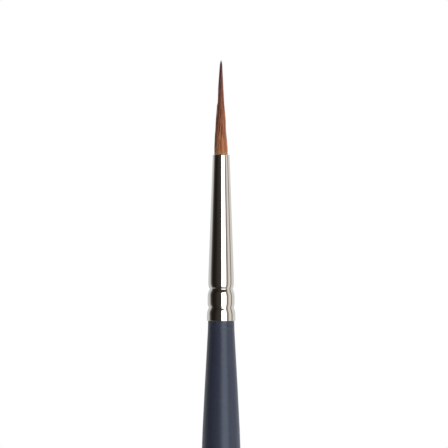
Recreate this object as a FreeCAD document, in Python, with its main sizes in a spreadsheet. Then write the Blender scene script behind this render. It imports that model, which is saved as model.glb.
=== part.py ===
import FreeCAD, Part
import math
import os

import Sketcher

# A fine detail brush, standing upright on its own axis with the tuft at the top.
# +Z runs along the axis towards the point of the hairs, and the origin is on the axis at the middle
# of the grip, the thickest stretch of the handle. All sizes are millimetres.
#
# The pieces, from the tail upwards: a turned wooden core in a coat of lacquer, a drawn metal ferrule
# rolled into the core's tenon with two crimps, the glue between the two, and the hairs. The hairs'
# roots are tied with a thread and set in cement inside the ferrule. Above the ferrule's mouth the
# tuft flexes as one body: its lower end is a ball, and the roots have a dish that clears it.

document = FreeCAD.newDocument("DetailBrush")

DIMENSIONS = [
    # Where the pieces stand, measured from the origin.
    ("tail_height", -104.0, "tail end of the handle"),
    ("ferrule_height", 38.17, "rear edge of the ferrule"),
    # Handle, measured from its tail or from the ferrule's rear edge.
    ("tail_radius", 1.4, "handle at the tail, before rounding"),
    ("tail_rounding", 1.3, "rounding of the tail end"),
    ("grip_radius", 3.0, "handle at its thickest, a plain cylinder"),
    ("back_run", 86.0, "tail to where the long taper would meet the grip"),
    ("back_curve", 1500.0, "radius of the curve from the long taper to the grip"),
    ("front_slope", 0.0565, "rise of the front taper for each mm of length"),
    ("front_curve", 430.0, "radius of the curve from the grip to the front taper"),
    ("neck_radius", 1.845, "handle where it enters the ferrule"),
    ("neck_run", 0.95, "ferrule's rear edge to where the front taper starts"),
    ("neck_curve", 40.0, "radius of the curve from the front taper to the neck"),
    ("coat", 0.16, "thickness of the lacquer"),
    ("coat_insert", 0.6, "how far the lacquered neck goes into the ferrule"),
    # Ferrule, measured from its rear edge.
    ("ferrule_length", 23.33, "rear edge to mouth"),
    ("rear_radius", 2.0, "outside of the rear band"),
    ("rear_shoulder", 1.07, "where the rear band turns down to the rear crimp"),
    ("rear_crimp", 1.83, "bottom of the rear crimp"),
    ("rear_crimp_radius", 1.79, "outside at the bottom of the rear crimp"),
    ("barrel_start", 2.23, "rear end of the barrel between the crimps"),
    ("barrel_end", 3.72, "front end of the barrel between the crimps"),
    ("barrel_radius", 1.893, "outside of the barrel between the crimps"),
    ("front_crimp", 4.46, "bottom of the front crimp"),
    ("front_crimp_radius", 1.645, "outside at the bottom of the front crimp"),
    ("front_shoulder", 4.96, "where the front crimp meets the long cone"),
    ("front_shoulder_radius", 1.8, "outside there"),
    ("cone_start", 6.26, "start of the long straight cone"),
    ("cone_radius", 1.785, "outside at the start of the cone"),
    ("mouth_radius", 1.18, "outside at the mouth"),
    ("rear_wall", 0.15, "wall from the rear edge to the start of the cone"),
    ("mouth_wall", 0.24, "wall at the mouth, where drawing thickens it"),
    ("shoulder_curve", 2.4, "rounding of the rear band's shoulder"),
    ("crimp_curve", 0.18, "rounding at the bottom of a crimp"),
    ("barrel_curve", 2.4, "rounding at each end of the barrel"),
    ("front_shoulder_curve", 1.8, "rounding of the front shoulder"),
    ("cone_curve", 40.0, "rounding at the start of the cone"),
    ("rear_edge", 0.04, "rounding of the rear edge"),
    ("mouth_edge", 0.12, "outer rounding of the mouth"),
    ("mouth_inner_edge", 0.06, "inner rounding of the mouth"),
    # Inside the ferrule, measured from its rear edge.
    ("tenon_length", 12.0, "tenon inside the ferrule"),
    ("tenon_edge", 0.3, "rounding of the tenon's end"),
    ("glue_cap", 0.25, "glue in front of the tenon's end"),
    ("cement_start", 14.6, "rear of the cement"),
    ("cement_end", 21.5, "front of the cement"),
    ("root_start", 15.5, "butt of the hair bundle"),
    ("thread_start", 16.4, "first turn of the binding thread"),
    ("thread_size", 0.16, "diameter of the thread"),
    ("thread_pitch", 0.17, "from one turn to the next"),
    ("thread_turns", 6.0, "turns of thread"),
    ("thread_bed", 0.02, "cement between the roots and the thread"),
    # Tuft, measured from the ferrule's mouth, except the pivot's own sizes.
    ("pivot_rise", 0.45, "mouth to the point that the tuft bends about"),
    ("ball_radius", 0.89, "ball at the lower end of the tuft"),
    ("ball_gap", 0.05, "clearance between the ball and the roots' dish"),
    ("core_radius", 0.45, "long hairs inside the belly"),
    ("belly_rise", 1.2, "top of the full width"),
    ("waist_rise", 3.4, "where the belly slims"),
    ("waist_radius", 0.72, "belly there"),
    ("breast_rise", 5.2, "where the belly starts to close"),
    ("breast_radius", 0.66, "belly there"),
    ("belly_end", 7.3, "where the last belly hairs end"),
    ("point_rise", 11.3, "where the long hairs draw in to the point"),
    ("point_radius", 0.22, "long hairs there"),
    ("tip_rise", 13.3, "tip of the tuft"),
    ("tip_radius", 0.03, "tip before rounding"),
    ("tip_rounding", 0.02, "rounding of the tip"),
]

dims = document.addObject("Spreadsheet::Sheet", "dims")
for row, (alias, size, meaning) in enumerate(DIMENSIONS, start=1):
    dims.set("A%d" % row, meaning)
    dims.set("B%d" % row, str(size))
    dims.setAlias("B%d" % row, alias)
document.recompute()


def number(expression):
    """The value of an expression in the sheet's names."""
    return float(dims.evalExpression(expression))


def plane(body, role):
    """One of the body's own origin planes."""
    return next(item for item in body.Origin.OriginFeatures if item.Role == role)


def new_body(label, height):
    """An empty body, standing at a height above the origin that the sheet gives."""
    body = document.addObject("PartDesign::Body", label)
    body.Label = label
    body.setExpression("Placement.Base.z", height)
    return body


def new_sketch(body, name, role="XZ_Plane"):
    """A sketch on one of the body's planes. On XZ its x is the radius and its y the height."""
    sketch = body.newObject("Sketcher::SketchObject", name)
    sketch.AttachmentSupport = [(plane(body, role), "")]
    sketch.MapMode = "FlatFace"
    return sketch


def bind(sketch, kind, items, expression):
    """Add a dimension to the sketch and tie it to the sheet."""
    index = sketch.addConstraint(Sketcher.Constraint(kind, *items, number(expression)))
    sketch.setExpression("Constraints[%d]" % index, expression)


def place(sketch, geometry, end, corner):
    """Tie one point of the sketch to a corner's radius and height."""
    for kind, axis, expression in (("DistanceX", -2, corner[0]), ("DistanceY", -1, corner[1])):
        if expression == "0":
            sketch.addConstraint(Sketcher.Constraint("PointOnObject", geometry, end, axis))
        else:
            bind(sketch, kind, (-1, 1, geometry, end), expression)


def rounded(before, corner, after, radius):
    """The arc that rounds a corner: its first point, its last point and the arc itself."""
    into = (corner - before).normalize()
    away = (after - corner).normalize()
    turn = math.atan2(into.x * away.y - into.y * away.x, into.dot(away))
    reach = radius * math.tan(abs(turn) / 2)
    first = corner - into * reach
    last = corner + away * reach
    side = math.copysign(1.0, turn)
    centre = first + FreeCAD.Vector(-into.y, into.x, 0) * (side * radius)
    low, high = (first, last) if side > 0 else (last, first)
    start = math.atan2(low.y - centre.y, low.x - centre.x)
    circle = Part.Circle(centre, FreeCAD.Vector(0, 0, 1), radius)
    arc = Part.ArcOfCircle(circle, start, start + abs(turn))
    arc_ends = (1, 2) if side > 0 else (2, 1)
    return first, last, arc, arc_ends


def outline(sketch, corners):
    """Draw a closed outline of straight runs through the corners.

    Each corner is (radius, height, rounding), as expressions in the sheet's names. A corner whose
    rounding is None stays sharp.
    """
    spots = [FreeCAD.Vector(number(x), number(y), 0) for x, y, _ in corners]
    count = len(corners)
    starts = list(spots)
    ends = list(spots)
    arcs = {}
    for i, (_, _, rounding) in enumerate(corners):
        if rounding is not None:
            shape = rounded(spots[i - 1], spots[i], spots[(i + 1) % count], number(rounding))
            ends[i], starts[i] = shape[0], shape[1]
            arcs[i] = shape[2:]
    # Line i runs from corner i to the next corner.
    lines = []
    for i in range(count):
        run = Part.LineSegment(starts[i], ends[(i + 1) % count])
        lines.append(sketch.addGeometry(run, False))
    for i, corner in enumerate(corners):
        if i not in arcs:
            sketch.addConstraint(Sketcher.Constraint("Coincident", lines[i - 1], 2, lines[i], 1))
            place(sketch, lines[i], 1, corner)
            continue
        curve, (arc_first, arc_last) = arcs[i]
        arc = sketch.addGeometry(curve, False)
        mark = sketch.addGeometry(Part.Point(spots[i]), True)
        sketch.addConstraint(Sketcher.Constraint("Tangent", lines[i - 1], 2, arc, arc_first))
        sketch.addConstraint(Sketcher.Constraint("Tangent", lines[i], 1, arc, arc_last))
        sketch.addConstraint(Sketcher.Constraint("PointOnObject", mark, 1, lines[i - 1]))
        sketch.addConstraint(Sketcher.Constraint("PointOnObject", mark, 1, lines[i]))
        place(sketch, mark, 1, corner)
        bind(sketch, "Radius", (arc,), corner[2])


def turned(body, corners):
    """Turn an outline about the body's own Z axis."""
    sketch = new_sketch(body, "Profile")
    outline(sketch, corners)
    turning = body.newObject("PartDesign::Revolution", "ProfileTurned")
    turning.Profile = sketch
    turning.ReferenceAxis = (sketch, ["V_Axis"])
    turning.Angle = 360.0
    sketch.Visibility = False


# Tail to the ferrule's rear edge.
HANDLE_LENGTH = "(dims.ferrule_height - dims.tail_height)"


def handle_side(inset):
    """Corners of the handle's outside from the tail to the neck, inset by a thickness."""
    front_end = "%s - dims.neck_run" % HANDLE_LENGTH
    front_run = "(dims.grip_radius - dims.neck_radius) / dims.front_slope"
    return [
        ("dims.tail_radius - %s" % inset, inset, "dims.tail_rounding - %s" % inset),
        ("dims.grip_radius - %s" % inset, "dims.back_run", "dims.back_curve"),
        ("dims.grip_radius - %s" % inset, "%s - %s" % (front_end, front_run), "dims.front_curve"),
        ("dims.neck_radius - %s" % inset, front_end, "dims.neck_curve"),
    ]


def bore_at(height):
    """Radius of the ferrule's bore at a height on its cone."""
    mouth = "dims.mouth_radius - dims.mouth_wall"
    wide = "dims.cone_radius - dims.rear_wall"
    share = "(dims.ferrule_length - %s) / (dims.ferrule_length - dims.cone_start)" % height
    return "%s + (%s - (%s)) * %s" % (mouth, wide, mouth, share)


def ferrule_side(inset):
    """Corners of the ferrule's side through both crimps, inset by a thickness."""
    corners = [
        ("dims.rear_radius", "dims.rear_shoulder", "dims.shoulder_curve"),
        ("dims.rear_crimp_radius", "dims.rear_crimp", "dims.crimp_curve"),
        ("dims.barrel_radius", "dims.barrel_start", "dims.barrel_curve"),
        ("dims.barrel_radius", "dims.barrel_end", "dims.barrel_curve"),
        ("dims.front_crimp_radius", "dims.front_crimp", "dims.crimp_curve"),
        ("dims.front_shoulder_radius", "dims.front_shoulder", "dims.front_shoulder_curve"),
        ("dims.cone_radius", "dims.cone_start", "dims.cone_curve"),
    ]
    return [("%s - %s" % (radius, inset), height, curve) for radius, height, curve in corners]


def lifted(corners, base):
    """The same corners, measured from another height."""
    return [(radius, "%s + %s" % (base, height), curve) for radius, height, curve in corners]


# The tenon carries on from the neck's wood, so the glue fills what is left of the bore.
TENON_INSET = "(dims.rear_radius - dims.neck_radius + dims.coat)"
TENON_END = [
    (
        "%s + dims.rear_wall - %s" % (bore_at("dims.tenon_length"), TENON_INSET),
        "dims.tenon_length",
        "dims.tenon_edge",
    ),
    ("0", "dims.tenon_length", None),
]


def handle_core():
    """Turned wood, with a tenon that the crimps bite into."""
    body = new_body("handle_core", "dims.tail_height")
    corners = [("0", "dims.coat", None)]
    corners += handle_side("dims.coat")
    corners += lifted(ferrule_side(TENON_INSET), HANDLE_LENGTH)
    corners += lifted(TENON_END, HANDLE_LENGTH)
    turned(body, corners)
    return body


def handle_lacquer():
    """Coat over the whole visible handle, reaching a little way into the ferrule."""
    body = new_body("handle_lacquer", "dims.tail_height")
    neck = "%s + dims.coat_insert" % HANDLE_LENGTH
    corners = [("0", "0", None)]
    corners += handle_side("0")
    corners += [
        ("dims.neck_radius", neck, None),
        ("dims.neck_radius - dims.coat", neck, None),
    ]
    corners += reversed(handle_side("dims.coat"))
    corners += [("0", "dims.coat", None)]
    turned(body, corners)
    return body


def ferrule():
    """Drawn tube: rear band, rear crimp, barrel, front crimp, long cone and rounded mouth."""
    body = new_body("ferrule", "dims.ferrule_height")
    corners = [
        ("dims.rear_radius - dims.rear_wall", "0", None),
        ("dims.rear_radius", "0", "dims.rear_edge"),
    ]
    corners += ferrule_side("0")
    corners += [
        ("dims.mouth_radius", "dims.ferrule_length", "dims.mouth_edge"),
        ("dims.mouth_radius - dims.mouth_wall", "dims.ferrule_length", "dims.mouth_inner_edge"),
    ]
    corners += reversed(ferrule_side("dims.rear_wall"))
    turned(body, corners)
    return body


def tenon_glue():
    """Thin sleeve of glue between the tenon and the bore, closed over the tenon's end."""
    body = new_body("tenon_glue", "dims.ferrule_height")
    glue_end = "(dims.tenon_length + dims.glue_cap)"
    corners = [
        ("dims.rear_radius - %s" % TENON_INSET, "dims.coat_insert", None),
        ("dims.rear_radius - dims.rear_wall", "dims.coat_insert", None),
    ]
    corners += ferrule_side("dims.rear_wall")
    corners += [(bore_at(glue_end), glue_end, None), ("0", glue_end, None)]
    corners += reversed(TENON_END)
    corners += reversed(ferrule_side(TENON_INSET))
    turned(body, corners)
    return body


def root_bundle():
    """The hairs inside the ferrule, as a plain cylinder before the dish is taken out."""
    body = new_body("root_bundle", "dims.ferrule_height + dims.root_start")
    sketch = new_sketch(body, "RootSection", "XY_Plane")
    radius = "dims.mouth_radius - dims.mouth_wall"
    circle = Part.Circle(FreeCAD.Vector(0, 0, 0), FreeCAD.Vector(0, 0, 1), number(radius))
    index = sketch.addGeometry(circle, False)
    sketch.addConstraint(Sketcher.Constraint("Coincident", index, 3, -1, 1))
    bind(sketch, "Radius", (index,), radius)
    pad = body.newObject("PartDesign::Pad", "RootLength")
    pad.Profile = sketch
    pad.setExpression("Length", "dims.ferrule_length - dims.root_start")
    sketch.Visibility = False
    return body


def hair_roots(bundle):
    """The root bundle with the dish that clears the tuft's ball."""
    dish = document.addObject("Part::Sphere", "RootDish")
    dish.setExpression("Radius", "dims.ball_radius + dims.ball_gap")
    dish.setExpression(
        "Placement.Base.z", "dims.ferrule_height + dims.ferrule_length + dims.pivot_rise"
    )
    roots = document.addObject("Part::Cut", "hair_roots")
    roots.Label = "hair_roots"
    roots.Base = bundle
    roots.Tool = dish
    return roots


def binding_thread():
    """A close winding of thread round the butt of the bundle."""
    body = new_body("binding_thread", "dims.ferrule_height + dims.thread_start")
    sketch = new_sketch(body, "ThreadSection")
    bed = "dims.mouth_radius - dims.mouth_wall + dims.thread_bed"
    winding = "%s + dims.thread_size / 2" % bed
    middle = FreeCAD.Vector(number(winding), 0, 0)
    section = Part.Circle(middle, FreeCAD.Vector(0, 0, 1), number("dims.thread_size / 2"))
    index = sketch.addGeometry(section, False)
    sketch.addConstraint(Sketcher.Constraint("PointOnObject", index, 3, -1))
    bind(sketch, "DistanceX", (-1, 1, index, 3), winding)
    bind(sketch, "Radius", (index,), "dims.thread_size / 2")
    helix = body.newObject("PartDesign::AdditiveHelix", "ThreadWinding")
    helix.Profile = sketch
    helix.ReferenceAxis = (sketch, ["V_Axis"])
    helix.Mode = "pitch-turns-angle"
    helix.setExpression("Pitch", "dims.thread_pitch")
    helix.setExpression("Turns", "dims.thread_turns")
    sketch.Visibility = False
    return body


def hair_cement(bundle, thread):
    """Cement that fills the bore behind and round the roots, with the thread set in it."""
    body = new_body("cement_fill", "dims.ferrule_height")
    corners = [
        ("0", "dims.cement_start", None),
        (bore_at("dims.cement_start"), "dims.cement_start", None),
        (bore_at("dims.cement_end"), "dims.cement_end", None),
        ("0", "dims.cement_end", None),
    ]
    turned(body, corners)
    without_roots = document.addObject("Part::Cut", "CementRoundRoots")
    without_roots.Base = body
    without_roots.Tool = bundle
    cement = document.addObject("Part::Cut", "hair_cement")
    cement.Label = "hair_cement"
    cement.Base = without_roots
    cement.Tool = thread
    return cement


def belly_hairs():
    """Shorter hairs round the long ones, with the ball that the whole tuft turns on."""
    body = new_body(
        "belly_hairs", "dims.ferrule_height + dims.ferrule_length + dims.pivot_rise"
    )
    corners = [
        ("0", "0", None),
        ("dims.ball_radius", "0", None),
        ("dims.ball_radius", "dims.belly_rise - dims.pivot_rise", None),
        ("dims.waist_radius", "dims.waist_rise - dims.pivot_rise", None),
        ("dims.breast_radius", "dims.breast_rise - dims.pivot_rise", None),
        ("dims.core_radius", "dims.belly_end - dims.pivot_rise", None),
        ("0", "dims.belly_end - dims.pivot_rise", None),
    ]
    turned(body, corners)
    ball = body.newObject("PartDesign::AdditiveSphere", "TuftBall")
    ball.setExpression("Radius", "dims.ball_radius")
    core = body.newObject("PartDesign::SubtractiveCylinder", "CoreSpace")
    core.setExpression("Radius", "dims.core_radius")
    core.setExpression("Height", "dims.ball_radius + dims.belly_end")
    core.setExpression("Placement.Base.z", "-dims.ball_radius")
    return body


def point_hairs():
    """Long hairs, inside the belly and then alone up to the point."""
    body = new_body(
        "point_hairs", "dims.ferrule_height + dims.ferrule_length + dims.pivot_rise"
    )
    base = "-sqrt(dims.ball_radius ^ 2 - dims.core_radius ^ 2)"
    corners = [
        ("0", base, None),
        ("dims.core_radius", base, None),
        ("dims.core_radius", "dims.belly_end - dims.pivot_rise", None),
        ("dims.point_radius", "dims.point_rise - dims.pivot_rise", None),
        ("dims.tip_radius", "dims.tip_rise - dims.pivot_rise", "dims.tip_rounding"),
        ("0", "dims.tip_rise - dims.pivot_rise", None),
    ]
    turned(body, corners)
    return body


def failed(item):
    """Whether the object is marked as failed."""
    return "Invalid" in item.State or "Error" in item.State


root_solid = root_bundle()
thread_solid = binding_thread()
sub_parts = [
    handle_core(),
    handle_lacquer(),
    ferrule(),
    tenon_glue(),
    hair_roots(root_solid),
    thread_solid,
    hair_cement(root_solid, thread_solid),
    belly_hairs(),
    point_hairs(),
]
document.recompute()

for item in document.Objects:
    if failed(item):
        raise RuntimeError("%s failed: %s" % (item.Label, item.State))
for item in sub_parts:
    if item.Shape.isNull() or not item.Shape.isValid():
        raise RuntimeError("%s has no valid shape" % item.Label)

os.makedirs("parts", exist_ok=True)
for item in sub_parts:
    item.Shape.exportStep("parts/%s.step" % item.Label)
    box = item.Shape.BoundBox
    summary = (item.Label, len(item.Shape.Solids), item.Shape.Volume, box.ZMin, box.ZMax)
    print("%-16s solids %d  volume %8.2f mm3  z %8.3f to %8.3f" % summary)
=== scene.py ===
import math

import bmesh
import bpy
import numpy as np
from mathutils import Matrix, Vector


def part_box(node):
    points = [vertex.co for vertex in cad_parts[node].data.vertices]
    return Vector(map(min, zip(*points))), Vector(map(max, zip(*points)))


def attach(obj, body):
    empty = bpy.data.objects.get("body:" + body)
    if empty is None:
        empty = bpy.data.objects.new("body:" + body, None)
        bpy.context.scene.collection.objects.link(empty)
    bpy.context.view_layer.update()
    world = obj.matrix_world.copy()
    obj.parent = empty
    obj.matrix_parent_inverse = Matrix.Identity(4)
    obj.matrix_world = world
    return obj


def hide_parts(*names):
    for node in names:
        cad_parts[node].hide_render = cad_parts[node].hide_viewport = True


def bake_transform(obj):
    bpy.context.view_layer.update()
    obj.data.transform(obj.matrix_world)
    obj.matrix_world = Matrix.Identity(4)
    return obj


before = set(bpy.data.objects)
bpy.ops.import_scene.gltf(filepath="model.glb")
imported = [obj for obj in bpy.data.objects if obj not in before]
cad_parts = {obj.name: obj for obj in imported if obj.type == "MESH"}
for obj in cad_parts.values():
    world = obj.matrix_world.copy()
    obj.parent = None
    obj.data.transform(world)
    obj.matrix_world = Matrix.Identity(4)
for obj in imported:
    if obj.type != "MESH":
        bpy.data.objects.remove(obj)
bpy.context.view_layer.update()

# A fine detail brush, upright on its axis, tuft at the top. Everything is in metres and stands
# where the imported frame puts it: the turned pieces are swept again, finer, from the outlines of
# their own solids, and the tuft is made hair by hair.

MM = 0.001
rng = np.random.default_rng(25)

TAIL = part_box("handle_lacquer")[0].z
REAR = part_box("ferrule")[0].z
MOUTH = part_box("ferrule")[1].z
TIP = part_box("point_hairs")[1].z
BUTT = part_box("hair_roots")[0].z
TUFT = TIP - MOUTH

# Both crimps: height above the ferrule's rear edge, and how much deeper it is pressed all round
# than in the CAD ferrule. Both are pressed deeper on the left too.
CRIMPS = ((1.86 * MM, 0.005 * MM), (4.46 * MM, 0.0))
CRIMP_WIDTH = 0.22 * MM
CRIMP_LEFT = 0.045 * MM

# Turned pieces: segments round them, the least radius that isn't a point on the axis, and the
# angle that stays a sharp edge.
ROUND = 128
ON_AXIS = 1e-7
SHARP_EDGE = math.radians(35)


# ---------------------------------------------------------------- materials

class Nodes:
    """A node tree, with short ways to add and join nodes."""

    def __init__(self, tree):
        self.tree = tree

    def add(self, kind, **settings):
        node = self.tree.nodes.new(kind)
        for name, value in settings.items():
            setattr(node, name, value)
        return node

    def feed(self, socket, value):
        """Put a socket, a colour or a number into an input."""
        if isinstance(value, bpy.types.NodeSocket):
            self.tree.links.new(value, socket)
        elif isinstance(value, tuple) and len(value) == 3 and len(socket.default_value) == 4:
            socket.default_value = (*value, 1)
        else:
            socket.default_value = value

    def noise(self, vector, scale, detail=2.0, roughness=0.5):
        node = self.add("ShaderNodeTexNoise")
        self.feed(node.inputs["Vector"], vector)
        self.feed(node.inputs["Scale"], scale)
        self.feed(node.inputs["Detail"], detail)
        self.feed(node.inputs["Roughness"], roughness)
        return node.outputs["Fac"]

    def wave(self, vector, scale, distortion, **settings):
        node = self.add("ShaderNodeTexWave", **settings)
        self.feed(node.inputs["Vector"], vector)
        self.feed(node.inputs["Scale"], scale)
        self.feed(node.inputs["Distortion"], distortion)
        return node.outputs["Fac"]

    def ramp(self, factor, stops):
        node = self.add("ShaderNodeValToRGB")
        elements = node.color_ramp.elements
        while len(elements) < len(stops):
            elements.new(0.5)
        for element, (spot, colour) in zip(elements, stops):
            element.position = spot
            element.color = (*colour, 1)
        self.feed(node.inputs["Fac"], factor)
        return node.outputs["Color"]

    def span(self, value, low, high, to_low=0.0, to_high=1.0):
        """The value's range from low to high, mapped to another and held at its ends."""
        node = self.add("ShaderNodeMapRange")
        self.feed(node.inputs["Value"], value)
        names = ("From Min", "From Max", "To Min", "To Max")
        for name, number in zip(names, (low, high, to_low, to_high)):
            self.feed(node.inputs[name], number)
        return node.outputs["Result"]

    def mix(self, factor, first, second, blend="MIX"):
        """Two colours mixed. The node's colour sockets share their names with others."""
        first_colour, second_colour, mixed_colour = 6, 7, 2
        node = self.add("ShaderNodeMix", data_type="RGBA", blend_type=blend)
        self.feed(node.inputs["Factor"], factor)
        self.feed(node.inputs[first_colour], first)
        self.feed(node.inputs[second_colour], second)
        return node.outputs[mixed_colour]

    def math(self, operation, *values):
        node = self.add("ShaderNodeMath", operation=operation)
        for socket, value in zip(node.inputs, values):
            self.feed(socket, value)
        return node.outputs["Value"]


class Shader(Nodes):
    """A material on the Principled shader."""

    def __init__(self, name):
        self.material = bpy.data.materials.new(name)
        self.material.use_nodes = True
        super().__init__(self.material.node_tree)
        self.surface = self.tree.nodes["Principled BSDF"]

    def place(self, scale=(1, 1, 1)):
        """Positions on the piece at rest, in metres, stretched by scale."""
        mapping = self.add("ShaderNodeMapping")
        self.feed(mapping.inputs["Scale"], scale)
        self.feed(mapping.inputs["Vector"], self.add("ShaderNodeTexCoord").outputs["Object"])
        return mapping.outputs["Vector"]

    def height(self):
        """Height above the origin, in metres."""
        parts = self.add("ShaderNodeSeparateXYZ")
        self.feed(parts.inputs["Vector"], self.place())
        return parts.outputs["Z"]

    def attribute(self, name):
        return self.add("ShaderNodeAttribute", attribute_name=name).outputs["Fac"]

    def bump(self, height, distance, under=None):
        node = self.add("ShaderNodeBump")
        self.feed(node.inputs["Height"], height)
        self.feed(node.inputs["Distance"], distance)
        if under:
            self.feed(node.inputs["Normal"], under)
        return node.outputs["Normal"]

    def finish(self, colour, roughness, normal=None, **numbers):
        """Join the colour, the roughness and the normal, and set the plain numbers."""
        self.feed(self.surface.inputs["Base Color"], colour)
        self.feed(self.surface.inputs["Roughness"], roughness)
        if normal:
            self.feed(self.surface.inputs["Normal"], normal)
        for name, value in numbers.items():
            self.feed(self.surface.inputs[name.replace("_", " ")], value)
        return self.material


def nickel():
    """Bright nickel plate: a near mirror with faint drawing lines and polishing haze."""
    s = Shader("nickel")
    haze = s.noise(s.place(), 900.0, 3.0)
    lines = s.noise(s.place((1, 1, 0.02)), 9000.0)
    colour = s.mix(haze, (0.640, 0.613, 0.572), (0.680, 0.650, 0.605))
    roughness = s.span(s.math("ADD", haze, lines), 0.6, 1.4, 0.030, 0.065)
    pits = s.noise(s.place(), 5200.0, 3.0)
    normal = s.bump(pits, 0.4e-6, s.bump(lines, 0.5e-6))
    return s.finish(colour, roughness, normal, Metallic=1.0)


def lacquer():
    """Slate blue satin lacquer: a soft orange peel and fine specks, thickest at the ferrule."""
    s = Shader("lacquer")
    cloud = s.noise(s.place(), 260.0)
    speck = s.noise(s.place(), 6500.0, 3.0, 0.65)
    base = s.mix(cloud, (0.038, 0.043, 0.074), (0.046, 0.052, 0.086))
    near_ferrule = s.span(s.height(), REAR - 1.8 * MM, REAR - 0.6 * MM, 0.22, 1.0)
    light_specks = s.math("MULTIPLY", s.span(speck, 0.54, 0.72), near_ferrule)
    dark_specks = s.math("MULTIPLY", s.span(speck, 0.46, 0.30), near_ferrule)
    colour = s.mix(light_specks, base, (0.150, 0.165, 0.205))
    colour = s.mix(dark_specks, colour, (0.005, 0.007, 0.012))
    roughness = s.span(speck, 0.3, 0.7, 0.31, 0.43)
    peel = s.bump(s.noise(s.place(), 1500.0), 4.0e-6)
    return s.finish(
        colour, roughness, s.bump(speck, 2.0e-6, peel),
        IOR=1.48, Specular_Tint=(0.74, 0.88, 1.0),
    )


def hair():
    """Brown hair that darkens to maroon at the point, each strand a little different, with
    painted light at the mouth and painted light and shade by side.
    """
    s = Shader("hair")
    tone = s.ramp(
        s.attribute("height"),
        [
            # The stops nearest the mouth are partly the hair's own golden tan and partly painted
            # light, against the shade of the ferrule's rim.
            (0.00, (0.640, 0.310, 0.130)),
            (0.04, (0.515, 0.210, 0.088)),
            (0.18, (0.480, 0.178, 0.072)),
            (0.30, (0.415, 0.140, 0.063)),
            (0.41, (0.368, 0.116, 0.052)),
            (0.61, (0.292, 0.097, 0.048)),
            (0.78, (0.210, 0.070, 0.050)),
            (0.86, (0.185, 0.046, 0.054)),
            (1.00, (0.120, 0.030, 0.040)),
        ],
    )
    # The strand attribute brings each hair's own tone and the painted light and painted shade by
    # side.
    shade = s.mix(s.attribute("strand"), (0.50, 0.45, 0.42), (1.50, 1.55, 1.58))
    streak = s.span(s.noise(s.place((1, 1, 0.06)), 7000.0), 0.3, 0.7)
    bands = s.mix(streak, (0.73, 0.70, 0.68), (1.24, 1.27, 1.29))
    colour = s.mix(1.0, s.mix(1.0, tone, shade, "MULTIPLY"), bands, "MULTIPLY")
    scales = s.bump(s.noise(s.place((1, 1, 0.3)), 30000.0), 0.8e-6)
    return s.finish(colour, s.span(streak, 0.0, 1.0, 0.36, 0.48), scales, IOR=1.52)


def wood():
    """Pale turned wood with long grain and growth rings."""
    s = Shader("wood")
    grain = s.noise(s.place((1, 1, 0.03)), 3200.0, 4.0)
    rings = s.wave(s.place((1, 1, 0.02)), 260.0, 2.5, wave_type="RINGS", rings_direction="Z")
    blond = s.mix(rings, (0.62, 0.43, 0.24), (0.74, 0.56, 0.35))
    colour = s.mix(s.span(grain, 0.35, 0.7, 0.0, 0.6), blond, (0.42, 0.26, 0.13))
    return s.finish(colour, s.span(grain, 0.3, 0.7, 0.55, 0.75), s.bump(grain, 12e-6))


def resin(name, light, dark, roughness):
    """Set glue or cement: cloudy, with tiny bubbles."""
    s = Shader(name)
    cloud = s.span(s.noise(s.place(), 1200.0, 3.0), 0.3, 0.7)
    bubbles = s.add("ShaderNodeTexVoronoi")
    s.feed(bubbles.inputs["Vector"], s.place())
    s.feed(bubbles.inputs["Scale"], 4200.0)
    dull = s.span(cloud, 0.0, 1.0, roughness, roughness + 0.15)
    return s.finish(s.mix(cloud, light, dark), dull, s.bump(bubbles.outputs["Distance"], 6e-6))


def thread():
    """Waxed thread: pale, with the twist of its plies."""
    s = Shader("thread")
    plies = s.wave(s.place(), 9000.0, 1.0, bands_direction="DIAGONAL")
    colour = s.mix(plies, (0.66, 0.60, 0.48), (0.86, 0.83, 0.74))
    return s.finish(colour, s.span(plies, 0.0, 1.0, 0.55, 0.75), s.bump(plies, 8e-6))


def give(piece, material):
    """One material on the whole piece."""
    piece.data.materials.clear()
    piece.data.materials.append(material)


# ---------------------------------------------------------------- turned pieces

def turned_outline(node):
    """The outline that a turned solid was swept from, in order, and whether it is closed.

    The solid's mesh has a seam of edges in the XZ plane, on the side where x is positive. They
    give (radius, height) along the outline. A solid that reaches its axis has an open outline.
    """
    digits = 8
    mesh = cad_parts[node].data
    links = {}
    for edge in mesh.edges:
        ends = [mesh.vertices[index].co for index in edge.vertices]
        if any(abs(co.y) > 10 ** -digits or co.x < 0 for co in ends):
            continue
        first, second = ((round(co.x, digits), round(co.z, digits)) for co in ends)
        if first != second:
            links.setdefault(first, set()).add(second)
            links.setdefault(second, set()).add(first)
    open_ends = [point for point, near in links.items() if len(near) == 1]
    chain = [min(open_ends or links)]
    while True:
        onward = [point for point in links[chain[-1]] if point not in chain]
        if not onward:
            break
        chain.append(min(onward))
    if open_ends:
        chain = [(0.0, chain[0][1])] + chain + [(0.0, chain[-1][1])]
    return np.array(chain), not open_ends


def finer(points, closed, step, rounds):
    """The outline with its long runs divided and its curves smoothed. Sharp corners stay."""
    sharp_turn = math.radians(25)
    count = len(points)
    spots = []
    sharp = []
    for i, here in enumerate(points):
        before = here - points[i - 1]
        after = points[(i + 1) % count] - here
        turn = math.atan2(before[0] * after[1] - before[1] * after[0], before @ after)
        last = not closed and i == count - 1
        spots.append(here)
        sharp.append(last or (not closed and i == 0) or abs(turn) > sharp_turn)
        if last:
            break
        parts = max(1, math.ceil(np.linalg.norm(after) / step))
        for k in range(1, parts):
            spots.append(here + after * (k / parts))
            sharp.append(False)
    spots = np.array(spots)
    sharp = np.array(sharp)
    for _ in range(rounds):
        before = np.roll(spots, 1, axis=0)
        after = np.roll(spots, -1, axis=0)
        kept = np.where(sharp[:, None], spots, (before + 6 * spots + after) / 8)
        spots = np.stack([kept, (spots + after) / 2], axis=1).reshape(-1, 2)
        sharp = np.stack([sharp, np.zeros_like(sharp)], axis=1).reshape(-1)
        if not closed:
            spots = spots[:-1]
            sharp = sharp[:-1]
    return spots


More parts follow.
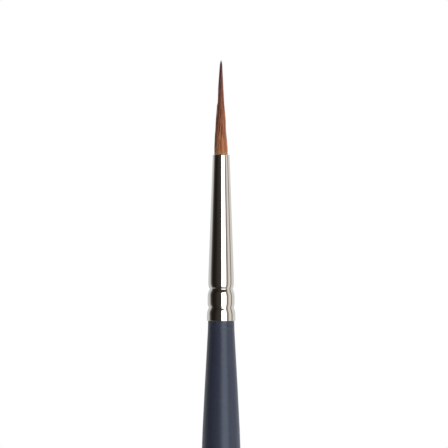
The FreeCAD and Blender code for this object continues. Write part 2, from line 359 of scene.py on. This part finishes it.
def waves(count, longest, shortest, size):
    """A smooth random unevenness round and along a piece, up to a size."""
    terms = []
    for _ in range(count):
        turns = int(rng.integers(1, 6))
        rate = 2 * math.pi / rng.uniform(shortest, longest)
        terms.append((turns, rate, *rng.uniform(0, 2 * math.pi, 2)))

    def uneven(angles, height):
        total = 0.0
        for turns, rate, first, second in terms:
            total = total + np.sin(turns * angles + first) * math.sin(rate * height + second)
        return total * size / count

    return uneven


def swept(name, outline, closed, uneven):
    """A piece swept round Z from an outline. uneven(angles, height) adds to the radius."""
    angles = np.linspace(0, 2 * math.pi, ROUND, endpoint=False)
    vertices = []
    rings = []
    for radius, height in outline:
        start = len(vertices)
        if radius < ON_AXIS:
            rings.append([start])
            vertices.append((0.0, 0.0, height))
            continue
        rings.append(range(start, start + ROUND))
        reach = radius + uneven(angles, height)
        vertices.extend(zip(reach * np.cos(angles), reach * np.sin(angles), [height] * ROUND))
    faces = []
    pairs = list(zip(rings, rings[1:] + rings[:1]))
    for low, high in pairs if closed else pairs[:-1]:
        for k in range(ROUND):
            n = (k + 1) % ROUND
            if len(low) == 1:
                faces.append((low[0], high[n], high[k]))
            elif len(high) == 1:
                faces.append((low[k], low[n], high[0]))
            else:
                faces.append((low[k], low[n], high[n], high[k]))
    piece = new_piece(name, vertices, faces)
    work = bmesh.new()
    work.from_mesh(piece.data)
    bmesh.ops.recalc_face_normals(work, faces=work.faces)
    work.to_mesh(piece.data)
    work.free()
    piece.data.set_sharp_from_angle(angle=SHARP_EDGE)
    return piece


def new_piece(name, vertices, faces):
    """A smooth-shaded mesh object in the scene."""
    mesh = bpy.data.meshes.new(name)
    mesh.from_pydata(vertices, [], faces)
    mesh.polygons.foreach_set("use_smooth", [True] * len(mesh.polygons))
    mesh.update()
    piece = bpy.data.objects.new(name, mesh)
    bpy.context.scene.collection.objects.link(piece)
    return piece


def ferrule_shape():
    """Unevenness of the drawn tube, and the extra depth of its crimps."""
    drawn = waves(6, 12 * MM, 4 * MM, 0.004 * MM)

    def uneven(angles, height):
        depth = 0
        for crimp, extra in CRIMPS:
            left = CRIMP_LEFT * np.clip(-np.cos(angles), 0, 1) ** 2
            near = math.exp(-((height - REAR - crimp) / CRIMP_WIDTH) ** 2)
            depth = depth + (left + extra) * near
        return drawn(angles, height) - depth

    return uneven


def make_ferrule():
    points, closed = turned_outline("ferrule")
    outline = finer(points, closed, 0.5 * MM, 2)
    piece = swept("ferrule_tube", outline, closed, ferrule_shape())
    give(piece, nickel())
    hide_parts("ferrule")
    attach(piece, "handle")


def make_handle():
    points, closed = turned_outline("handle_lacquer")
    outline = finer(points, closed, 1.0 * MM, 1)
    piece = swept("handle_coat", outline, closed, waves(8, 30 * MM, 6 * MM, 0.010 * MM))
    give(piece, lacquer())
    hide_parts("handle_lacquer")
    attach(piece, "handle")


# ---------------------------------------------------------------- tuft

HAIRS = 430
HAIR_SIDES = 6
HAIR_RADIUS = 0.041 * MM
HAIR_RINGS = 26
ROOT_RINGS = 3
THINNEST = 0.002 * MM
LOCKS = 30
# The share of the hairs that are long, and the share of the tuft's length that the others reach.
LONG_SHARE = 0.32
BELLY_TOP = 0.84
# Heights at which the hairs' places are worked out.
LEVELS = 140
# From one hair or lock to the next, so that they fill a disc evenly.
GOLDEN_TURN = math.pi * (3 - math.sqrt(5))

# Radius of the whole tuft, and how far its middle leans to one side, by height above the mouth,
# all in millimetres.
GIRTH = [
    (0.0, 0.936), (0.6, 0.936), (1.2, 0.919), (3.4, 0.771), (5.0, 0.676), (7.3, 0.477),
    (8.5, 0.417), (10.7, 0.297), (12.4, 0.195), (12.9, 0.140), (13.3, 0.050),
]
LEAN = [
    (0.0, 0.015), (2.7, -0.068), (4.5, -0.045), (8.0, -0.045), (9.5, -0.070), (11.0, -0.040),
    (13.3, -0.010),
]
# How much lighter the hairs are painted, from the tuft's left at -1 to its right at 1, as painted
# light
# and painted shade: low down, and higher up, where only the left side is dark.
PAINTED_LIGHT_AND_SHADE_LOW = [
    (-1.0, -0.30), (-0.7, -0.20), (-0.25, 0.28), (0.1, 0.05), (0.5, -0.14), (1.0, -0.14),
]
PAINTED_LIGHT_AND_SHADE_HIGH = [(-1.0, -0.22), (1.0, 0.22)]


def along(table, height):
    """Read a table of millimetres at heights in metres."""
    spots, values = zip(*table)
    return np.interp(height, np.array(spots) * MM, np.array(values) * MM)


def smooth(value, low, high):
    """A soft step from 0 at low to 1 at high."""
    share = np.clip((value - low) / (high - low), 0, 1)
    return share * share * (3 - 2 * share)


def ripple(height, wave, phase):
    """One sine along the height for each row of wavelengths and phases."""
    return np.sin(2 * math.pi * height / wave[:, None] + phase[:, None])


def hair_lengths(angles):
    """Free length of each hair: long ones that make the point, and shorter belly hairs."""
    queue = rng.permutation(HAIRS) / HAIRS
    share = np.where(
        queue < LONG_SHARE,
        1.0 - 0.14 * (queue / LONG_SHARE) ** 1.3,
        BELLY_TOP - 0.56 * (np.clip(queue - LONG_SHARE, 0, 1) / (1 - LONG_SHARE)) ** 0.75,
    )
    lengths = share * TUFT
    # A few hairs on the left of the belly all end together, in a small step.
    turn = np.angle(np.exp(1j * (angles - math.pi)))
    step = (np.abs(turn) < 0.5) & (np.arange(HAIRS) > 0.86 * HAIRS)
    lengths[step] = rng.uniform(6.8, 7.3, step.sum()) * MM
    return lengths, step


def thickness(height, lengths, radii, blunt):
    """Radius of every hair by height above the mouth: rows are hairs, columns heights.

    A high power keeps a hair thick nearly to its end.
    """
    share = np.clip(height / lengths[:, None], 0, 1)
    power = np.where(blunt, 9.0, np.where(lengths > BELLY_TOP * TUFT, 12.0, 2.8))[:, None]
    return radii[:, None] * (1 - share ** power) ** 0.85


def packed_disc(size, angles):
    """Where every hair sits in a unit disc that the hairs fill evenly, at every height."""
    area = size ** 2
    inside = (np.cumsum(area, axis=0) - area / 2) / np.maximum(area.sum(axis=0), 1e-18)
    return np.sqrt(inside) * np.exp(1j * angles)[:, None]


def choose_locks(disc):
    """The lock that each hair belongs to: the one whose seed is nearest at the mouth."""
    index = np.arange(LOCKS)
    seeds = np.sqrt((index + 0.5) / LOCKS) * np.exp(
        1j * (index * GOLDEN_TURN + rng.uniform(-0.3, 0.3, LOCKS))
    )
    return np.argmin(np.abs(disc[:, :1] - seeds[None, :]), axis=1)


def gather(disc, lock, grid, size):
    """The disc with each lock's hairs drawn together above the mouth, spread to fill it again."""
    middles = np.array([disc[lock == k].mean(axis=0) for k in range(LOCKS)])
    pull = 0.28 * smooth(grid, 0.2 * MM, 4 * MM)
    gathered = disc + pull * (middles[lock] - disc)
    sides = np.where(size > 0, gathered, 0)
    extents = (sides.real, -sides.real, sides.imag, -sides.imag)
    reach = sum(part.max(axis=0) for part in extents) / 4
    return gathered / np.maximum(reach, 0.2)


def hair_paths(grid, angles, size, step):
    """Every hair's path as complex numbers, x + iy, along the grid of heights, and its lock."""
    disc = packed_disc(size, angles)
    lock = choose_locks(disc)
    gathered = gather(disc, lock, grid, size)
    # Locks and hairs wander round the tuft a little as they rise.
    lock_wave = rng.uniform(3.5 * MM, 7 * MM, LOCKS)
    lock_phase = rng.uniform(0, 2 * math.pi, LOCKS)
    hair_wave = rng.uniform(1.8 * MM, 4.5 * MM, HAIRS)
    hair_phase = rng.uniform(0, 2 * math.pi, HAIRS)
    wander = 0.13 * ripple(grid, lock_wave, lock_phase)[lock]
    wander = wander + 0.05 * ripple(grid, hair_wave, hair_phase)
    swell = 1 + 0.03 * ripple(grid, lock_wave, 2 * lock_phase)[lock]
    radius = (along(GIRTH, grid) - size) * np.minimum(swell, 1.015)
    turned = np.exp(1j * wander * smooth(grid, 0, 3 * MM))
    outward = 0.03 * MM * smooth(grid, 3 * MM, 6 * MM) * step[:, None]
    spots = gathered * np.maximum(radius, 0) * turned
    return spots + outward * np.exp(1j * angles)[:, None] + along(LEAN, grid), lock


def tubes(x, y, z, width):
    """A closed tube for every row of points: its vertices and faces."""
    around = np.arange(HAIR_SIDES) * 2 * math.pi / HAIR_SIDES
    vertices = np.stack([
        x[..., None] + width[..., None] * np.cos(around),
        y[..., None] + width[..., None] * np.sin(around),
        z[..., None] + np.zeros(HAIR_SIDES),
    ], axis=-1).reshape(-1, 3)
    rows, rings = x.shape
    faces = []
    for k in range(rows):
        start = k * rings * HAIR_SIDES
        for i in range(rings - 1):
            low = start + i * HAIR_SIDES
            for j in range(HAIR_SIDES):
                n = (j + 1) % HAIR_SIDES
                faces.append((low + j, low + n, low + HAIR_SIDES + n, low + HAIR_SIDES + j))
        end = start + (rings - 1) * HAIR_SIDES
        faces.append([start + j for j in reversed(range(HAIR_SIDES))])
        faces.append([end + j for j in range(HAIR_SIDES)])
    return vertices, faces


def hair_tone_with_painted_light_and_shade(x, z, lock, step):
    """How light each hair is at each of its points, from 0 to 1: its own tone, with painted light
    and painted shade by side.
    """
    lock_shade = rng.uniform(0.40, 0.66, LOCKS)
    strand = 0.5 * lock_shade[lock] + 0.5 * rng.uniform(0, 1, HAIRS)
    strand[step] = 0.2
    side = np.clip(x / np.maximum(along(GIRTH, z), HAIR_RADIUS), -1, 1)
    high = smooth(z, 2.5 * MM, 6 * MM)
    fading = 1 - 0.5 * smooth(z, 7 * MM, 11 * MM)
    # Low down, painted shade at both edges and painted light left of the middle; higher up,
    # painted shade on the left and painted light on the right.
    painted_light_and_shade = (1 - high) * np.interp(side, *zip(*PAINTED_LIGHT_AND_SHADE_LOW))
    painted_light_and_shade += high * fading * np.interp(side, *zip(*PAINTED_LIGHT_AND_SHADE_HIGH))
    return np.clip(strand[:, None] + painted_light_and_shade, 0, 1)


def make_tuft():
    angles = np.arange(HAIRS) * GOLDEN_TURN
    lengths, step = hair_lengths(angles)
    radii = HAIR_RADIUS * rng.uniform(0.85, 1.15, HAIRS)
    grid = np.linspace(0, TUFT, LEVELS)
    size = thickness(grid[None, :], lengths, radii, step)
    spots, lock = hair_paths(grid, angles, size, step)

    # Rings along every hair, closer together towards its tip, and straight roots below.
    steps = lengths[:, None] * (1 - (1 - np.linspace(0, 1, HAIR_RINGS)) ** 1.35)
    x = np.array([np.interp(at, grid, spot.real) for at, spot in zip(steps, spots)])
    y = np.array([np.interp(at, grid, spot.imag) for at, spot in zip(steps, spots)])
    width = np.maximum(thickness(steps, lengths, radii, step), THINNEST)
    x, y, width = (
        np.hstack([np.repeat(values[:, :1], ROOT_RINGS, axis=1), values])
        for values in (x, y, width)
    )
    roots = np.linspace(BUTT - MOUTH, 0, ROOT_RINGS + 1)[:-1]
    z = np.hstack([np.tile(roots, (HAIRS, 1)), steps])
    vertices, faces = tubes(x, y, MOUTH + z, width)
    piece = new_piece("tuft_hairs", vertices.tolist(), faces)

    layers = {
        "height": np.clip(z / TUFT, 0, 1),
        # The strand layer holds each hair's own tone with painted light and painted shade by
        # side.
        "strand": hair_tone_with_painted_light_and_shade(x, z, lock, step),
    }
    for name, values in layers.items():
        layer = piece.data.attributes.new(name, "FLOAT", "POINT")
        spread = np.repeat(values.reshape(-1), HAIR_SIDES)
        layer.data.foreach_set("value", spread.astype(np.float32))
    give(piece, hair())
    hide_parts("belly_hairs", "point_hairs", "hair_roots")
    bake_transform(piece)


# ---------------------------------------------------------------- inner pieces

def finish_inner_pieces():
    """The hidden CAD pieces keep their shapes and get materials of their own."""
    looks = {
        "handle_core": wood(),
        "tenon_glue": resin("glue", (0.80, 0.74, 0.58), (0.66, 0.58, 0.40), 0.45),
        "hair_cement": resin("cement", (0.60, 0.42, 0.18), (0.45, 0.28, 0.10), 0.20),
        "binding_thread": thread(),
    }
    for node, material in looks.items():
        give(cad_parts[node], material)


# ---------------------------------------------------------------- studio

# What stands round the brush, by azimuth in degrees: 0 is towards the camera and 90 to the
# brush's right. Level with the brush there is paper on the left, a black card that turns brown
# towards the front, a softbox, a cream wall with darker seams, and paper again on the right.
# HIGH and LOW are what is above and below the level band.
LEVEL = [
    (-180, (0.50, 0.51, 0.53)),
    (-160, (0.60, 0.61, 0.63)),
    (-144, (0.80, 0.81, 0.84)),
    (-126, (0.83, 0.84, 0.86)),
    (-114, (0.70, 0.71, 0.72)),
    (-107, (0.48, 0.48, 0.48)),
    (-101, (0.25, 0.25, 0.25)),
    (-94, (0.075, 0.073, 0.070)),
    (-74, (0.016, 0.013, 0.011)),
    (-50, (0.025, 0.020, 0.017)),
    (-35, (0.046, 0.040, 0.035)),
    (-20, (0.060, 0.053, 0.047)),
    (20, (0.068, 0.060, 0.054)),
    (26, (0.38, 0.345, 0.31)),
    (60, (0.33, 0.30, 0.27)),
    (65, (0.56, 0.52, 0.48)),
    (70, (0.99, 0.945, 0.885)),
    (90, (0.97, 0.925, 0.865)),
    (95, (0.46, 0.43, 0.39)),
    (98, (0.23, 0.21, 0.19)),
    (103, (0.23, 0.21, 0.19)),
    (109, (0.92, 0.92, 0.91)),
    (150, (0.88, 0.88, 0.87)),
    (180, (0.70, 0.71, 0.72)),
]
HIGH = [
    (-180, (0.62, 0.63, 0.65)),
    (-108, (0.40, 0.41, 0.42)),
    (-96, (0.020, 0.018, 0.016)),
    (-40, (0.022, 0.019, 0.017)),
    (-18, (0.052, 0.040, 0.034)),
    (0, (0.058, 0.046, 0.040)),
    (4, (0.085, 0.075, 0.070)),
    (46, (0.095, 0.083, 0.075)),
    (60, (0.16, 0.14, 0.125)),
    (68, (0.60, 0.56, 0.52)),
    (78, (0.72, 0.68, 0.63)),
    (180, (0.64, 0.65, 0.66)),
]
LOW = [
    (-180, (0.64, 0.65, 0.67)),
    (-100, (0.58, 0.59, 0.60)),
    (-78, (0.30, 0.30, 0.30)),
    (-64, (0.045, 0.040, 0.036)),
    (-1, (0.036, 0.032, 0.028)),
    (4, (0.40, 0.37, 0.34)),
    (60, (0.48, 0.44, 0.40)),
    (76, (0.74, 0.69, 0.65)),
    (180, (0.68, 0.68, 0.68)),
]
# The level band ends at these elevations, and so does the softbox, which has rounded corners.
BAND = (-29, 29)
BAND_BLUR = 2
SOFTBOX = (3.0, 3.0, 3.0)
SOFTBOX_SIDES = (3.2, 45.8)
SOFTBOX_ROUNDING = 5


def off_softbox(s, azimuth, elevation):
    """0 on the softbox, a rounded rectangle, and 1 beyond its edge."""
    beyond = []
    for angle, (near, far) in ((azimuth, SOFTBOX_SIDES), (elevation, BAND)):
        offset = s.math("ABSOLUTE", s.math("SUBTRACT", angle, (near + far) / 2))
        inner = (far - near) / 2 - SOFTBOX_ROUNDING
        beyond.append(s.math("MAXIMUM", s.math("SUBTRACT", offset, inner), 0.0))
    squares = [s.math("MULTIPLY", value, value) for value in beyond]
    corner = s.math("SQRT", s.math("ADD", *squares))
    return s.span(corner, SOFTBOX_ROUNDING - 1, SOFTBOX_ROUNDING + 1)


def make_world():
    """A studio to light the brush, white where the camera looks straight at it."""
    world = bpy.data.worlds.new("studio")
    bpy.context.scene.world = world
    world.use_nodes = True
    s = Nodes(world.node_tree)
    s.tree.nodes.clear()
    direction = s.add("ShaderNodeTexCoord").outputs["Generated"]
    parts = s.add("ShaderNodeSeparateXYZ")
    s.feed(parts.inputs["Vector"], direction)
    towards = s.math("MULTIPLY", parts.outputs["Y"], -1.0)
    azimuth = s.math("DEGREES", s.math("ARCTAN2", parts.outputs["X"], towards))
    elevation = s.math("DEGREES", s.math("ARCSINE", parts.outputs["Z"]))
    # The black card's left edge leans. The slant fades out towards the card's middle.
    slant = s.math("MULTIPLY", s.span(azimuth, -60, -100), s.span(elevation, -6, 10, -1.5, 5.0))
    turn = s.math("ADD", s.math("DIVIDE", s.math("ADD", azimuth, slant), 360.0), 0.5)
    level, high, low = (
        s.ramp(turn, [(degrees / 360 + 0.5, colour) for degrees, colour in table])
        for table in (LEVEL, HIGH, LOW)
    )
    room = s.mix(s.span(elevation, BAND[1], BAND[1] + BAND_BLUR), level, high)
    room = s.mix(s.span(elevation, BAND[0], BAND[0] - BAND_BLUR), room, low)
    lit = s.add("ShaderNodeBackground")
    s.feed(lit.inputs["Color"], s.mix(off_softbox(s, azimuth, elevation), SOFTBOX, room))
    plain = s.add("ShaderNodeBackground")
    s.feed(plain.inputs["Color"], (1.0, 1.0, 1.0))
    choose = s.add("ShaderNodeMixShader")
    s.feed(choose.inputs["Fac"], s.add("ShaderNodeLightPath").outputs["Is Camera Ray"])
    s.feed(choose.inputs[1], lit.outputs["Background"])
    s.feed(choose.inputs[2], plain.outputs["Background"])
    output = s.add("ShaderNodeOutputWorld")
    s.feed(output.inputs["Surface"], choose.outputs["Shader"])


def make_floor():
    """A pale round floor under the tail that fades into the white round it."""
    radius, fade_from = 0.32, 0.10
    level = TAIL - 0.1 * MM
    angles = np.linspace(0, 2 * math.pi, 96, endpoint=False)
    rim = [(radius * math.cos(a), radius * math.sin(a), level) for a in angles]
    floor = new_piece("floor", rim, [range(len(rim))])
    s = Shader("floor")
    spread = s.add("ShaderNodeVectorMath", operation="LENGTH")
    s.feed(spread.inputs[0], s.place((1, 1, 0)))
    mottle = s.span(s.noise(s.place(), 60.0), 0.3, 0.7)
    s.finish(s.mix(mottle, (0.85, 0.85, 0.85), (0.88, 0.88, 0.88)), 0.9)
    s.feed(s.surface.inputs["Emission Color"], (1.0, 1.0, 1.0))
    s.feed(s.surface.inputs["Emission Strength"], 0.42)
    blend = s.add("ShaderNodeMixShader")
    s.feed(blend.inputs["Fac"], s.span(spread.outputs["Value"], fade_from, radius))
    s.feed(blend.inputs[1], s.surface.outputs["BSDF"])
    s.feed(blend.inputs[2], s.add("ShaderNodeBsdfTransparent").outputs["BSDF"])
    s.feed(s.tree.nodes["Material Output"].inputs["Surface"], blend.outputs["Shader"])
    give(floor, s.material)
    floor.visible_glossy = False


def make_camera():
    """A long lens, level with the ferrule, square to the brush and a little to its right."""
    distance, aside, below_mouth = 350 * MM, 0.40 * MM, 9.75 * MM
    data = bpy.data.cameras.new("camera")
    data.lens = 200.0
    data.sensor_width = 36.0
    camera = bpy.data.objects.new("camera", data)
    bpy.context.scene.collection.objects.link(camera)
    camera.location = (aside, -distance, MOUTH - below_mouth)
    camera.rotation_euler = (math.pi / 2, 0, 0)
    bpy.context.scene.camera = camera


make_ferrule()
make_handle()
make_tuft()
finish_inner_pieces()
make_world()
make_floor()
make_camera()
bpy.context.scene.view_settings.view_transform = "Standard"
